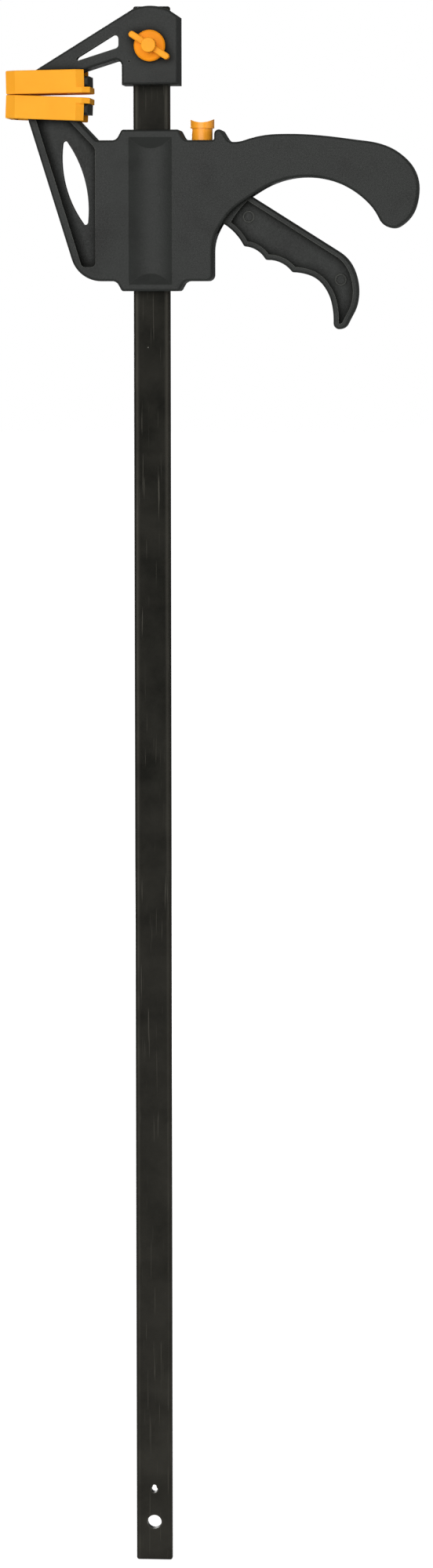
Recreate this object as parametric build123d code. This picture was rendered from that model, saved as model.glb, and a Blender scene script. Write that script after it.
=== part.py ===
from build123d import *
import os
from math import atan2, cos, degrees, hypot, pi, radians, sin, sqrt, tan

os.makedirs("parts", exist_ok=True)

# One-handed bar clamp, millimetres. The bar runs along Z with the fixed jaw on top,
# the handle points to +X, the front faces -Y and Z = 0 is the clamping plane.

# Steel bar
BAR_WIDTH = 19.0
BAR_THICKNESS = 5.0
BAR_LENGTH = 816.0
BAR_TOP_Z = 45.2
BAR_EDGE_ROUND = 1.5
BAR_CORNER_ROUND = 1.2
END_HOLE_RADIUS = 3.7
END_HOLE_INSET = 20.6
STOP_HOLE_INSET = 38.0
STOP_HOLE_RADIUS = 1.7
STOP_LOBE_RADIUS = 1.1
STOP_LOBE_RISE = 1.6

# Moulded plastic, shared by the fixed jaw and the two shells
MOULDING_THICKNESS = 24.0
MOULDING_EDGE_ROUND = 1.4
PARTING_BEVEL = 0.3
JAW_BAR_CLEARANCE = 0.05
CARRIAGE_BAR_CLEARANCE = 0.3

# Jaw pads and the tongues that they slip over
PAD_LENGTH = 40.4
PAD_LIP = 3.0
PAD_THICKNESS = 12.0
PAD_BASE = 3.0
PAD_SIDE_WALL = 3.0
PAD_TIP_WALL = 3.6
PAD_TIP_BEVEL = (5.1, 3.2)
PAD_HEEL_BEVEL = (4.0, 2.6)
PAD_EDGE_ROUND = 0.6
PAD_FIT = 0.15
PAD_REACH_X = -74.2
PAD_GAP = 0.16
TONGUE_THICKNESS = 5.3
TONGUE_SETBACK = 0.5
FIXED_TOE_IN = 1.0
MOVING_TOE_IN = 2.2

# Fixed jaw
JAW_HALF_WIDTH = 14.6
JAW_BASE_Z = 4.8
JAW_CHAMFER_Z = 39.6
JAW_TOP_HALF = 9.3
JAW_SHOULDER_Z = 43.1
JAW_CROWN_Z = 45.0
JAW_BROW_SLOPE = 31.6
JAW_SOFFIT_SLOPE = 17.6
JAW_SOFFIT_Z = 18.6
JAW_THROAT_ROUND = 3.0
JAW_STEP_X = -37.0
JAW_CROWN_ROUND = 6.0
WINDOW_RIGHT_X = -16.2
WINDOW_TOP_Z = 31.8
WINDOW_FOOT_Z = 23.8
WINDOW_ROUND = 2.1
WINDOW_TIP_ROUND = 0.8
WINDOW_WEB = 6.0
WINDOW_RELIEF = 1.5
DIMPLE_X = -10.7
DIMPLE_Z = 16.7
DIMPLE_RADIUS = 0.5
DIMPLE_DEPTH = 0.4

# Wing screw that holds the fixed jaw on the bar
KNOB_DISC_RADIUS = 8.0
KNOB_DISC_HEIGHT = 3.4
KNOB_DISC_RISE = 0.5
KNOB_DISC_BEVEL = 0.7
KNOB_HUB_RADIUS = 3.8
KNOB_HUB_HEIGHT = 11.6
KNOB_HUB_ROUND = 0.6
KNOB_SEAT_GAP = 0.1
WING_LENGTH = 24.0
WING_WIDTH = 3.4
WING_HEIGHT = 7.6
WING_LIFT = 1.2
WING_REST_ANGLE = -32.5
WING_EDGE_ROUND = 0.9
SCREW_RADIUS = 3.0
SCREW_RUNNING_CLEARANCE = 0.06
SCREW_HOLE_CLEARANCE = 0.4
SCREW_HEAD_DEPTH = 6.5
SCREW_END_SETBACK = 0.6
NUT_ACROSS_FLATS = 10.0
NUT_HEIGHT = 5.0
NUT_POCKET_CLEARANCE = 0.1
NUT_SETBACK = 0.5

# Carriage outline, front view
BOSS_HALF_WIDTH = 14.8
BOSS_TOP_Z = -18.0
BOSS_BASE_Z = -100.7
BOSS_CORNER_ROUND = 1.7
SHOULDER_Z = -23.4
BODY_BASE_Z = -95.6
STEP_RUN = 2.8
STEP_HOLLOW_ROUND = 3.5
BODY_RIGHT_X = 32.0
BODY_CORNER_ROUND = 3.2
BODY_WAIST_Z = -80.5
GUARD_LEFT_X = 32.9
GUARD_RADIUS = 2.4
GUARD_TOP_Z = -18.0
GUARD_FOOT_ROUND = 1.0
GUARD_SWEEP = 30.0
HANDLE_STATIONS = [
    ((42.6, -24.4), -2),
    ((54.5, -21.8), 13),
    ((74.0, -20.4), -1),
    ((101.2, -22.8), -8),
    ((121.0, -26.4), -20),
    ((137.9, -48.0), -90),
    ((131.4, -65.3), -138),
    ((124.6, -68.5), 176),
]
GRIP_X = 80.2
GRIP_Z = -87.0
GRIP_RADIUS = 44.7
GRIP_START = 44.0
GRIP_END = 122.0
GRIP_ROOT = ((39.3, -62.4), -129)
ARM_LEFT_X = -64.8
ARM_RIGHT_X = -43.4
ARM_TOP_Z = -7.0
ARM_ROOT_X = -27.8
ARM_ROOT_ROUND = 2.0
ARM_FOOT_X = -37.2
ARM_HEEL_ROUND = 16.0

# Recess, leaf-shaped window and front channel of the carriage
POCKET_DEPTH = 8.4
POCKET_RIM = 3.9
POCKET_RIM_INNER = 3.2
POCKET_RIGHT_X = -28.4
POCKET_FOOT_Z = -88.3
POCKET_TOP_Z = -11.0
POCKET_SHOULDER_ROUND = 4.0
POCKET_FOOT_ROUND = 2.4
LEAF_TOP_X = -45.6
LEAF_TOP_Z = -21.3
LEAF_FOOT_X = -33.4
LEAF_FOOT_Z = -68.8
LEAF_LEFT_BULGE = 5.5
LEAF_RIGHT_BULGE = 5.2
LEAF_TIP_ROUND = 1.5
CHANNEL_HALF_WIDTH = 11.2
CHANNEL_DEPTH = 2.4
CHANNEL_TOP_Z = -21.8
CHANNEL_FOOT_Z = -97.4
CHANNEL_RAMP = 5.8

# Bays inside the carriage
SLIM_BAY_DEPTH = 6.5
WIDE_BAY_DEPTH = 8.5
HANDLE_WALL = 3.6
HANDLE_HOLLOW = [(67.0, -60.0), (67.0, -24.6), (115.2, -29.5), (115.2, -60.0)]
HANDLE_END_X = 115.2
HANDLE_END_Z = -49.0
HANDLE_END_RADIUS = 23.0
TRIGGER_BAY_ROOF = [(22.5, -47.5), (27.0, -47.5), (46.0, -42.0), (63.0, -46.3)]
TRIGGER_BAY_FLOOR = [(38.0, -76.0), (30.0, -66.5), (21.6, -67.4)]
TRIGGER_BAY_TOP_Z = -52.0

# Trigger and its pin
PIVOT_X = 29.0
PIVOT_Z = -55.0
TRIGGER_THICKNESS = 16.0
TRIGGER_EDGE_ROUND = 1.3
TRIGGER_BOSS_RADIUS = 6.5
TRIGGER_BACK = [(49.0, -50.4), (96.9, -80.5)]
TRIGGER_STATIONS = [
    ((107.0, -101.0), -90),
    ((104.3, -112.3), -119),
    ((97.3, -120.3), 180),
    ((94.2, -117.1), 88),
    ((88.6, -97.4), 129),
]
TRIGGER_CRESTS = [(73.0, -91.1), (59.3, -84.8), (48.1, -77.8), (36.5, -65.6)]
TRIGGER_GROOVES = [2.0, 1.8, 1.3]
TRIGGER_CREST_ROUND = 1.6
TRIGGER_HEEL_X = 23.0
TRIGGER_HEEL_ROUND = 10.0
TRIGGER_ENTRY_ROUND = 6.0
TRIGGER_SHOULDER_ROUND = 8.0
TRIGGER_RIM = 2.8
TRIGGER_PANEL_DEPTH = 3.6
PANEL_CLEAR_OF_GRIP = 0.2
MARK_PLACES = [(50.3, -62.6), (97.8, -94.9)]
MARK_RADIUS = 3.0
MARK_LIP = 0.6
MARK_HEIGHT = 0.5
NOSE_ARM = 13.5
NOSE_DROP = 3.0
NOSE_TIP_RADIUS = 4.0
PIN_RADIUS = 2.5
PIN_COVER = 1.5
PIN_FIT = 0.02
PIN_RUNNING_CLEARANCE = 0.08

# Driving plates and their spring
PLATE_WIDTH = 12.0
PLATE_STACK_GAP = 0.05
PLATE_SLOT_CLEARANCE = 0.15
DRIVE_PLATE_THICKNESS = 2.2
DRIVE_PLATE_LEFT_WEB = 6.1
DRIVE_PLATE_RIGHT_WEB = 11.1
DRIVE_PLATE_LEFT_X = -BAR_WIDTH / 2 - DRIVE_PLATE_LEFT_WEB
DRIVE_PLATE_RIGHT_X = BAR_WIDTH / 2 + DRIVE_PLATE_RIGHT_WEB
DRIVE_TOUCH_GAP = 0.3
DRIVE_CEILING_GAP = 0.1
DRIVE_BAY_ROOM = 1.0
DRIVE_SEAT_Z = -88.0
DRIVE_SPRING_OFFSET = 6.1
DRIVE_SPRING_X = BAR_WIDTH / 2 + DRIVE_SPRING_OFFSET
DRIVE_SPRING_RADIUS = 4.2
DRIVE_SPRING_WIRE = 0.6
DRIVE_SPRING_TURNS = 5
SPRING_END_GAP = 0.15
WIRE_SIDES = 4

# Brake plates, their spring and the release button
BRAKE_PIVOT_X = -16.5
BRAKE_PIVOT_Z = -37.5
BRAKE_TILT = 5.0
BRAKE_PLATE_THICKNESS = 2.0
BRAKE_TAIL = 1.6
BRAKE_REACH_X = 30.2
BRAKE_BITE_CLEARANCE = 0.1
BRAKE_NOTCH_ROOM = 0.6
BRAKE_BAY_TOP_Z = -27.6
BRAKE_BAY_BASE_Z = -41.0
BRAKE_BAY_LEFT_X = -13.0
BRAKE_BAY_RIGHT_X = 31.4
BRAKE_NOTCH_LEFT_X = -18.6
BRAKE_SPRING_X = 21.5
BRAKE_SEAT_Z = -46.0
BRAKE_SPRING_RADIUS = 3.2
BRAKE_SPRING_WIRE = 0.5
BRAKE_SPRING_TURNS = 4
SPRING_POCKET_ROOM = 0.7
BUTTON_X = 26.0
BUTTON_HEAD_RADIUS = 6.25
BUTTON_TOP_Z = -12.5
BUTTON_HEAD_Z = -17.2
BUTTON_SADDLE = 1.7
BUTTON_STEM_RADIUS = 5.35
BUTTON_FLANGE_RADIUS = 6.6
BUTTON_FLANGE_HEIGHT = 2.4
BUTTON_FOOT_RADIUS = 2.0
BUTTON_SLIDE_CLEARANCE = 0.2
BUTTON_EDGE_ROUND = 0.5
BUTTON_BAY_ROOM = 0.8
BUTTON_FLANGE_GAP = 0.3
BUTTON_TOUCH_GAP = 0.3

# Self-tapping screws that close the two shells, put in from the back
SHELL_SCREW_PLACES = [(-24.0, -33.0), (-24.0, -87.0), (26.6, -87.6), (88.0, -32.0), (124.0, -47.0)]
SHELL_SCREW_RADIUS = 1.45
SHELL_SCREW_LENGTH = 13.0
SHELL_SCREW_HEAD_RADIUS = 3.1
SHELL_SCREW_HEAD_HEIGHT = 2.2
SHELL_SCREW_SINK = 6.0
SHELL_SCREW_FIT = 0.02
SHELL_SCREW_CLEARANCE = 0.25
SHELL_BOSS_RADIUS = 5.2

HALF = MOULDING_THICKNESS / 2
BAR_FOOT_Z = BAR_TOP_Z - BAR_LENGTH
WING_Z = BAR_TOP_Z - END_HOLE_INSET
PAST = 2.0


def front_face(*edges):
    """A face in the XZ plane from edges given as (x, z) points."""
    return Plane.XZ * make_face(list(edges))


def chain(*points):
    """Straight edges through the given points."""
    return Polyline(*points).edges()


def bulged(start, end, bulge):
    """An arc from start to end that stands off the chord by bulge, to its left when positive."""
    dx = end[0] - start[0]
    dz = end[1] - start[1]
    length = hypot(dx, dz)
    middle = (
        (start[0] + end[0]) / 2 - dz / length * bulge,
        (start[1] + end[1]) / 2 + dx / length * bulge,
    )
    return ThreePointArc(start, middle, end)


def arcs_through(*stations):
    """Pairs of tangent arcs through stations, each a point and the heading there in degrees."""
    edges = []
    for (start, heading), (end, next_heading) in zip(stations, stations[1:]):
        chord = Vector(*end) - Vector(*start)
        leave = Vector(1, 0).rotate(Axis.Z, heading)
        arrive = Vector(1, 0).rotate(Axis.Z, next_heading)
        along = chord.dot(leave + arrive)
        turn = 2 * (1 - leave.dot(arrive))
        reach = chord.dot(chord) / (along + sqrt(along**2 + turn * chord.dot(chord)))
        joint = (Vector(*start) + Vector(*end) + (leave - arrive) * reach) * 0.5
        first = TangentArc(start, joint, tangent=leave)
        edges += [first, TangentArc(joint, end, tangent=first.tangent_at(1))]
    return edges


def slab(face, front, back):
    """The face drawn out along Y from front to back."""
    return extrude(face.moved(Location((0, front, 0))), amount=back - front, dir=(0, 1, 0))


def both_ways(face, half):
    """The face drawn out by half to each side of the parting plane."""
    return slab(face, -half, half)


def disc_face(x, z, radius):
    """A round face in the XZ plane."""
    return Plane.XZ * (Pos(x, z) * Circle(radius))


def box_face(left, right, low, high):
    """A rectangular face in the XZ plane."""
    return Plane.XZ * (Pos((left + right) / 2, (low + high) / 2) * Rectangle(right - left, high - low))


def upright(x, radius, low, high):
    """A round bar along Z in the parting plane."""
    return Pos(x, 0, low) * Cylinder(radius, high - low, align=(Align.CENTER, Align.CENTER, Align.MIN))


def across(x, z, radius, front, back):
    """A round bar along Y."""
    return slab(disc_face(x, z, radius), front, back)


def round_rim(part, y, radius):
    """The part with its edges in the plane at y rounded."""
    return fillet(part.edges().filter_by_position(Axis.Y, y - 0.01, y + 0.01), radius)


def near(vertices, x, z):
    """The vertex nearest to (x, z) in the front view."""
    return min(vertices, key=lambda v: hypot(v.X - x, v.Z - z))


def coil(x, radius, wire, turns, low, high):
    """A compression spring along Z, one unbroken wire from half-turn arcs."""
    rise = (high - low - 2 * wire) / (2 * turns)
    path = []
    for half_turn in range(2 * turns):
        z = low + wire + rise * half_turn
        side = 1 if half_turn % 2 == 0 else -1
        path.append(
            ThreePointArc(
                (x + side * radius, 0, z),
                (x, side * radius, z + rise / 2),
                (x - side * radius, 0, z + rise),
            )
        )
    section = Plane((x + radius, 0, low + wire), z_dir=(0, 1, 0)) * RegularPolygon(wire, WIRE_SIDES)
    return sweep(section, path=Wire(path)), 2 * rise - 2 * wire


# Bar

def bar():
    middle = BAR_TOP_Z - BAR_LENGTH / 2
    blank = Pos(0, 0, middle) * Box(BAR_WIDTH, BAR_THICKNESS, BAR_LENGTH)
    blank = fillet(blank.edges().filter_by(Axis.Y), BAR_CORNER_ROUND)
    blank = fillet(blank.edges().filter_by(Axis.Z), BAR_EDGE_ROUND)
    holes = across(0, WING_Z, END_HOLE_RADIUS, -BAR_THICKNESS, BAR_THICKNESS)
    holes += across(0, BAR_FOOT_Z + END_HOLE_INSET, END_HOLE_RADIUS, -BAR_THICKNESS, BAR_THICKNESS)
    stop_z = BAR_FOOT_Z + STOP_HOLE_INSET
    keyhole = disc_face(0, stop_z, STOP_HOLE_RADIUS) + disc_face(0, stop_z + STOP_LOBE_RISE, STOP_LOBE_RADIUS)
    return blank - holes - both_ways(keyhole, BAR_THICKNESS)


def bar_passage(clearance, low, high):
    """The rectangular way that the bar takes through a moulding."""
    return Pos(0, 0, (low + high) / 2) * Box(
        BAR_WIDTH + 2 * clearance, BAR_THICKNESS + 2 * clearance, high - low
    )


# Pads: built along +X from the tip, with the clamping face on Z = 0 and the walls upwards

def pad_place(side):
    """Where a pad's tip lies, with the toe-in that opens the jaws towards the bar."""
    toe_in = FIXED_TOE_IN if side > 0 else -MOVING_TOE_IN
    return Pos(PAD_REACH_X, 0, side * PAD_GAP / 2) * Rot(0, -toe_in, 0)


def pad_plan(length):
    """A pad's outline on its clamping face, with bevelled corners."""
    half_depth = HALF + PAD_FIT + PAD_SIDE_WALL
    tip_run, tip_cut = PAD_TIP_BEVEL
    heel_run, heel_cut = PAD_HEEL_BEVEL
    side = [
        (0, half_depth - tip_cut),
        (tip_run, half_depth),
        (length - heel_run, half_depth),
        (length, half_depth - heel_cut),
    ]
    return make_face(Polyline(*side, *[(x, -y) for x, y in reversed(side)], close=True).edges())


def pad(side):
    wall_plan = pad_plan(PAD_LENGTH)
    lip_plan = pad_plan(PAD_LENGTH + PAD_LIP)
    block = extrude(wall_plan, amount=PAD_THICKNESS) + extrude(lip_plan, amount=PAD_BASE)
    block = fillet(block.edges().group_by(Axis.Z)[0], PAD_EDGE_ROUND)
    block = fillet(block.edges().group_by(Axis.Z)[-1], PAD_EDGE_ROUND)
    hollow_length = PAD_LENGTH + PAD_LIP
    hollow = Pos(PAD_TIP_WALL, 0, PAD_BASE) * Box(
        hollow_length,
        2 * (HALF + PAD_FIT),
        PAD_THICKNESS,
        align=(Align.MIN, Align.CENTER, Align.MIN),
    )
    return pad_place(side) * (Rot(0 if side > 0 else 180, 0, 0) * (block - hollow))


def tongue(side):
    """The flat end of a jaw, as a face in the XZ plane, that the pad slips over."""
    low = PAD_BASE + PAD_FIT
    face = box_face(
        PAD_TIP_WALL + PAD_FIT,
        PAD_LENGTH + PAD_LIP - TONGUE_SETBACK,
        low if side > 0 else -low - TONGUE_THICKNESS,
        low + TONGUE_THICKNESS if side > 0 else -low,
    )
    return pad_place(side) * face


# Fixed jaw

def fixed_jaw():
    foot_z = PAD_BASE + TONGUE_THICKNESS
    brow_run = (JAW_SHOULDER_Z - foot_z) / tan(radians(JAW_BROW_SLOPE))
    step_z = JAW_SOFFIT_Z - (-JAW_HALF_WIDTH - JAW_STEP_X) * tan(radians(JAW_SOFFIT_SLOPE))
    outline = front_face(
        *chain(
            (-JAW_TOP_HALF, JAW_SHOULDER_Z),
            (-JAW_TOP_HALF - brow_run, foot_z),
            (JAW_STEP_X, foot_z),
            (JAW_STEP_X, step_z),
            (-JAW_HALF_WIDTH, JAW_SOFFIT_Z),
            (-JAW_HALF_WIDTH, JAW_BASE_Z),
            (JAW_HALF_WIDTH, JAW_BASE_Z),
            (JAW_HALF_WIDTH, JAW_CHAMFER_Z),
            (JAW_TOP_HALF, JAW_SHOULDER_Z),
        ),
        ThreePointArc((JAW_TOP_HALF, JAW_SHOULDER_Z), (0, JAW_CROWN_Z), (-JAW_TOP_HALF, JAW_SHOULDER_Z)),
    )
    outline = fillet(near(outline.vertices(), -JAW_HALF_WIDTH, JAW_SOFFIT_Z), JAW_THROAT_ROUND)
    for x in (-JAW_TOP_HALF, JAW_TOP_HALF):
        outline = fillet(near(outline.vertices(), x, JAW_SHOULDER_Z), JAW_CROWN_ROUND)
    blank = both_ways(outline + tongue(1), HALF)
    blank = round_rim(blank, -HALF, MOULDING_EDGE_ROUND)
    blank = round_rim(blank, HALF, MOULDING_EDGE_ROUND)
    window_run = (WINDOW_TOP_Z - WINDOW_FOOT_Z) / (
        tan(radians(JAW_BROW_SLOPE)) - tan(radians(JAW_SOFFIT_SLOPE))
    )
    tip_x = WINDOW_RIGHT_X - window_run
    tip_z = WINDOW_TOP_Z - window_run * tan(radians(JAW_BROW_SLOPE))
    window = front_face(
        *chain(
            (tip_x, tip_z),
            (WINDOW_RIGHT_X, WINDOW_TOP_Z),
            (WINDOW_RIGHT_X, WINDOW_FOOT_Z),
            (tip_x, tip_z),
        )
    )
    window = fillet(near(window.vertices(), tip_x, tip_z), WINDOW_TIP_ROUND)
    for z in (WINDOW_TOP_Z, WINDOW_FOOT_Z):
        window = fillet(near(window.vertices(), WINDOW_RIGHT_X, z), WINDOW_ROUND)
    nut_radius = (NUT_ACROSS_FLATS / 2 + NUT_POCKET_CLEARANCE) / cos(pi / 6)
    nut_pocket = Plane.XZ * (Pos(0, WING_Z) * RegularPolygon(nut_radius, 6))
    return (
        blank
        - both_ways(window, HALF + PAST)
        - slab(offset(window, WINDOW_RELIEF), -HALF + WINDOW_WEB, HALF + PAST)
        - bar_passage(JAW_BAR_CLEARANCE, JAW_BASE_Z - PAST, BAR_TOP_Z + PAST)
        - across(0, WING_Z, SCREW_RADIUS + SCREW_HOLE_CLEARANCE, -HALF - PAST, HALF + PAST)
        - slab(nut_pocket, HALF - NUT_SETBACK - NUT_HEIGHT, HALF + PAST)
        - across(DIMPLE_X, DIMPLE_Z, DIMPLE_RADIUS, -HALF - PAST, -HALF + DIMPLE_DEPTH)
    )


# Wing screw

def wing_knob():
    seat = -HALF - KNOB_SEAT_GAP
    profile = Polyline(
        (0, 0),
        (KNOB_DISC_RADIUS, 0),
        (KNOB_DISC_RADIUS, KNOB_DISC_HEIGHT - KNOB_DISC_BEVEL),
        (KNOB_DISC_RADIUS - KNOB_DISC_BEVEL, KNOB_DISC_HEIGHT),
        (KNOB_HUB_RADIUS, KNOB_DISC_HEIGHT + KNOB_DISC_RISE),
        (KNOB_HUB_RADIUS, KNOB_HUB_HEIGHT),
        (0, KNOB_HUB_HEIGHT),
        close=True,
    )
    turned = revolve(Plane.XZ * make_face(profile.edges()), axis=Axis.Z)
    turned = fillet(turned.edges().group_by(Axis.Z)[-1], KNOB_HUB_ROUND)
    wing = Pos(0, 0, WING_LIFT) * extrude(
        SlotOverall(WING_LENGTH, WING_WIDTH), amount=WING_HEIGHT - WING_LIFT
    )
    wing = fillet(wing.edges().group_by(Axis.Z)[-1], WING_EDGE_ROUND)
    bore = Cylinder(
        SCREW_RADIUS + SCREW_RUNNING_CLEARANCE,
        SCREW_HEAD_DEPTH + SCREW_RUNNING_CLEARANCE,
        align=(Align.CENTER, Align.CENTER, Align.MIN),
    )
    knob = turned + wing - bore
    return Pos(0, seat, WING_Z) * (Rot(90, 0, 0) * (Rot(0, 0, WING_REST_ANGLE) * knob))


def wing_screw():
    return across(
        0, WING_Z, SCREW_RADIUS, -HALF - KNOB_SEAT_GAP - SCREW_HEAD_DEPTH, HALF - SCREW_END_SETBACK
    )


def captive_nut():
    hexagon = Plane.XZ * (Pos(0, WING_Z) * RegularPolygon(NUT_ACROSS_FLATS / 2 / cos(pi / 6), 6))
    back = HALF - NUT_SETBACK
    nut = slab(hexagon, back - NUT_HEIGHT, back)
    return nut - across(0, WING_Z, SCREW_RADIUS + SCREW_RUNNING_CLEARANCE, 0, HALF + PAST)


# Carriage outline

def grip_station(angle):
    """The point at that angle of the circle that the palm side of the handle follows."""
    x = GRIP_X + GRIP_RADIUS * cos(radians(angle))
    z = GRIP_Z + GRIP_RADIUS * sin(radians(angle))
    return (x, z), angle + 90


def carriage_outline():
    step_x = BOSS_HALF_WIDTH + STEP_RUN
    guard_x = GUARD_LEFT_X + GUARD_RADIUS
    guard_z = GUARD_TOP_Z - GUARD_RADIUS
    sweep = radians(GUARD_SWEEP)
    guard_end = (guard_x + GUARD_RADIUS * cos(sweep), guard_z + GUARD_RADIUS * sin(sweep))
    waist = (BODY_RIGHT_X, BODY_WAIST_Z)
    handle = arcs_through(
        (guard_end, GUARD_SWEEP - 90),
        *HANDLE_STATIONS,
        grip_station(GRIP_START),
        grip_station(GRIP_END),
        GRIP_ROOT,
        (waist, -90),
    )
    outline = front_face(
        *chain(
            (-BOSS_HALF_WIDTH, BOSS_TOP_Z),
            (BOSS_HALF_WIDTH, BOSS_TOP_Z),
            (step_x, SHOULDER_Z),
            (GUARD_LEFT_X, SHOULDER_Z),
            (GUARD_LEFT_X, guard_z),
        ),
        ThreePointArc((GUARD_LEFT_X, guard_z), (guard_x, GUARD_TOP_Z), guard_end),
        *handle,
        *chain(
            waist,
            (BODY_RIGHT_X, BODY_BASE_Z),
            (step_x, BODY_BASE_Z),
            (BOSS_HALF_WIDTH, BOSS_BASE_Z),
            (-BOSS_HALF_WIDTH, BOSS_BASE_Z),
            (-step_x, BODY_BASE_Z),
            (ARM_FOOT_X, BODY_BASE_Z),
            (ARM_LEFT_X, ARM_TOP_Z),
            (ARM_RIGHT_X, ARM_TOP_Z),
            (ARM_ROOT_X, SHOULDER_Z),
            (-step_x, SHOULDER_Z),
            (-BOSS_HALF_WIDTH, BOSS_TOP_Z),
        ),
    )
    corners = [
        (BODY_RIGHT_X, BODY_BASE_Z, BODY_CORNER_ROUND),
        (ARM_FOOT_X, BODY_BASE_Z, ARM_HEEL_ROUND),
        (ARM_ROOT_X, SHOULDER_Z, ARM_ROOT_ROUND),
        (GUARD_LEFT_X, SHOULDER_Z, GUARD_FOOT_ROUND),
    ]
    for side in (-1, 1):
        corners += [
            (side * BOSS_HALF_WIDTH, BOSS_TOP_Z, BOSS_CORNER_ROUND),
            (side * BOSS_HALF_WIDTH, BOSS_BASE_Z, BOSS_CORNER_ROUND),
            (side * step_x, SHOULDER_Z, STEP_HOLLOW_ROUND),
            (side * step_x, BODY_BASE_Z, STEP_HOLLOW_ROUND),
        ]
    for x, z, radius in corners:
        outline = fillet(near(outline.vertices(), x, z), radius)
    return outline + tongue(-1)


def arm_pocket():
    """The recess of the arm, its sides parallel to the arm's two edges."""
    outer_run = (ARM_LEFT_X - ARM_FOOT_X) / (ARM_TOP_Z - BODY_BASE_Z)
    outer_offset = POCKET_RIM * hypot(1, outer_run)
    inner_run = (ARM_RIGHT_X - ARM_ROOT_X) / (ARM_TOP_Z - SHOULDER_Z)
    inner_offset = POCKET_RIM_INNER * hypot(1, inner_run)

    def outer_x(z):
        return ARM_FOOT_X + (z - BODY_BASE_Z) * outer_run + outer_offset

    def inner_x(z):
        return ARM_ROOT_X + (z - SHOULDER_Z) * inner_run - inner_offset

    shoulder_z = SHOULDER_Z + (POCKET_RIGHT_X + inner_offset - ARM_ROOT_X) / inner_run
    face = front_face(
        *chain(
            (outer_x(POCKET_TOP_Z), POCKET_TOP_Z),
            (inner_x(POCKET_TOP_Z), POCKET_TOP_Z),
            (POCKET_RIGHT_X, shoulder_z),
            (POCKET_RIGHT_X, POCKET_FOOT_Z),
            (outer_x(POCKET_FOOT_Z), POCKET_FOOT_Z),
            (outer_x(POCKET_TOP_Z), POCKET_TOP_Z),
        )
    )
    face = fillet(near(face.vertices(), POCKET_RIGHT_X, shoulder_z), POCKET_SHOULDER_ROUND)
    for x in (POCKET_RIGHT_X, outer_x(POCKET_FOOT_Z)):
        face = fillet(near(face.vertices(), x, POCKET_FOOT_Z), POCKET_FOOT_ROUND)
    return slab(face, -HALF - PAST, -HALF + POCKET_DEPTH)


def leaf_window():
    top = (LEAF_TOP_X, LEAF_TOP_Z)
    foot = (LEAF_FOOT_X, LEAF_FOOT_Z)
    face = front_face(bulged(top, foot, LEAF_RIGHT_BULGE), bulged(foot, top, LEAF_LEFT_BULGE))
    for x, z in (top, foot):
        face = fillet(near(face.vertices(), x, z), LEAF_TIP_ROUND)
    return both_ways(face, HALF + PAST)


def front_channel():
    """The shallow hollow along the front of the carriage, with a ramp at each end."""
    radius = (CHANNEL_HALF_WIDTH**2 + CHANNEL_DEPTH**2) / (2 * CHANNEL_DEPTH)
    floor_y = -HALF + CHANNEL_DEPTH
    roller = Pos(0, floor_y - radius, (CHANNEL_TOP_Z + CHANNEL_FOOT_Z) / 2) * Cylinder(
        radius, CHANNEL_TOP_Z - CHANNEL_FOOT_Z
    )
    side_view = Plane.YZ * make_face(
        chain(
            (-HALF - PAST, CHANNEL_FOOT_Z),
            (-HALF, CHANNEL_FOOT_Z),
            (floor_y, CHANNEL_FOOT_Z + CHANNEL_RAMP),
            (floor_y, CHANNEL_TOP_Z - CHANNEL_RAMP),
            (-HALF, CHANNEL_TOP_Z),
            (-HALF - PAST, CHANNEL_TOP_Z),
            (-HALF - PAST, CHANNEL_FOOT_Z),
        )
    )
    return roller & extrude(side_view, amount=CHANNEL_HALF_WIDTH + PAST, both=True)


# Carriage shells

def brake_height(x, level):
    """Z of the tilted brake stack at x, level above its middle."""
    tilt = radians(BRAKE_TILT)
    along = (x - BRAKE_PIVOT_X + level * sin(tilt)) / cos(tilt)
    return BRAKE_PIVOT_Z + along * sin(tilt) + level * cos(tilt)


BRAKE_STACK_HALF = BRAKE_PLATE_THICKNESS + PLATE_STACK_GAP / 2
DRIVE_TOP_Z = PIVOT_Z - NOSE_DROP - NOSE_TIP_RADIUS - DRIVE_TOUCH_GAP
DRIVE_FOOT_Z = DRIVE_TOP_Z - 3 * DRIVE_PLATE_THICKNESS - 2 * PLATE_STACK_GAP


def mechanism_bays():
    """The hollows for the brake plates, the driving plates and the button."""
    notch_half = BRAKE_STACK_HALF + BRAKE_NOTCH_ROOM
    slim = box_face(
        BRAKE_NOTCH_LEFT_X, BRAKE_BAY_LEFT_X, BRAKE_PIVOT_Z - notch_half, BRAKE_PIVOT_Z + notch_half
    )
    slim += box_face(BRAKE_BAY_LEFT_X, BRAKE_BAY_RIGHT_X, BRAKE_BAY_BASE_Z, BRAKE_BAY_TOP_Z)
    slim += box_face(
        DRIVE_PLATE_LEFT_X - DRIVE_BAY_ROOM,
        DRIVE_PLATE_RIGHT_X + DRIVE_BAY_ROOM,
        DRIVE_SEAT_Z,
        DRIVE_TOP_Z + DRIVE_CEILING_GAP,
    )
    pocket_radius = BRAKE_SPRING_RADIUS + BRAKE_SPRING_WIRE + SPRING_POCKET_ROOM
    button_hole = BUTTON_STEM_RADIUS + BUTTON_SLIDE_CLEARANCE
    button_bay = BUTTON_FLANGE_RADIUS + BUTTON_BAY_ROOM
    return (
        both_ways(slim, SLIM_BAY_DEPTH)
        + upright(BRAKE_SPRING_X, pocket_radius, BRAKE_SEAT_Z, BRAKE_BAY_BASE_Z + PAST)
        + upright(BUTTON_X, button_bay, BRAKE_BAY_BASE_Z, BRAKE_BAY_TOP_Z)
        + upright(BUTTON_X, button_hole, BRAKE_BAY_TOP_Z - PAST, SHOULDER_Z + PAST)
    )


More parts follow.
